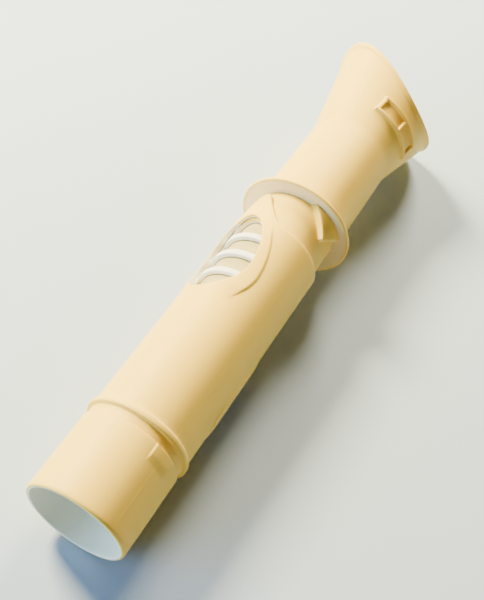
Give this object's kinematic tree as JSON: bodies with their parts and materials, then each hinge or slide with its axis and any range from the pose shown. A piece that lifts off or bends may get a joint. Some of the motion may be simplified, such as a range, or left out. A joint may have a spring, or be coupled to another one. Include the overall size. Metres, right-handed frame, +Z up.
{
  "type": "grunt tube call",
  "caption": "Blown reed call for game: pale tube with a twist sleeve, ribbed windows, round flange and a flared oval mouth.",
  "frame": {"origin": "centre of the exhaust end's open rim, which is the mouth of the exhaust bore", "axes": "+Y along the tube from the exhaust rim to the mouth; +Z up as the tube lies on a table, with the pointer lug's side turned 47 degrees from +Z towards +X"},
  "size_m": [0.0441, 0.2032, 0.0449],
  "materials": {
    "shell": "satin moulded plastic, warm white",
    "liner": "matte beige silicone",
    "clear_nylon": "satin natural nylon",
    "black_plastic": "satin black plastic",
    "reed_film": "frosted film",
    "wedge_rubber": "matte",
    "seal_rubber": "matte"
  },
  "bodies": {
    "barrel": {"outer_barrel": "shell", "exhaust_tube": "shell", "exhaust_seal": "seal_rubber"},
    "mouthpiece": {"mouthpiece": "shell", "inner_tube": "shell", "mouthpiece_seal": "seal_rubber", "retaining_ring": "clear_nylon", "thrust_washer": "clear_nylon", "turn_seal_lower": "seal_rubber", "turn_seal_upper": "seal_rubber", "vent_liner": "liner", "reed_holder": "black_plastic", "holder_seal_rear": "seal_rubber", "holder_seal_front": "seal_rubber", "tone_board": "black_plastic", "reed_wedge": "wedge_rubber"},
    "reed": {"reed": "reed_film"},
    "tuning_band": {"tuning_band": "seal_rubber"}
  },
  "joints": [
    {"name": "sleeve_twist", "type": "hinge", "parent": "barrel", "child": "mouthpiece", "pos_m": [0, 0.1, 0], "axis": [0, 1, 0], "range_deg": [-55, 55]},
    {"name": "reed_flex", "type": "hinge", "parent": "mouthpiece", "child": "reed", "pos_m": [-0.00062, 0.129, -0.00058], "axis": [-0.682, 0, 0.7314], "range_deg": [-0.5, 1.5], "stiffness_Nm_per_rad": 0.005},
    {"name": "tuning_slide", "type": "slide", "parent": "mouthpiece", "child": "tuning_band", "axis": [0, 1, 0], "range_m": [-0.0015, 0.005]}
  ]
}
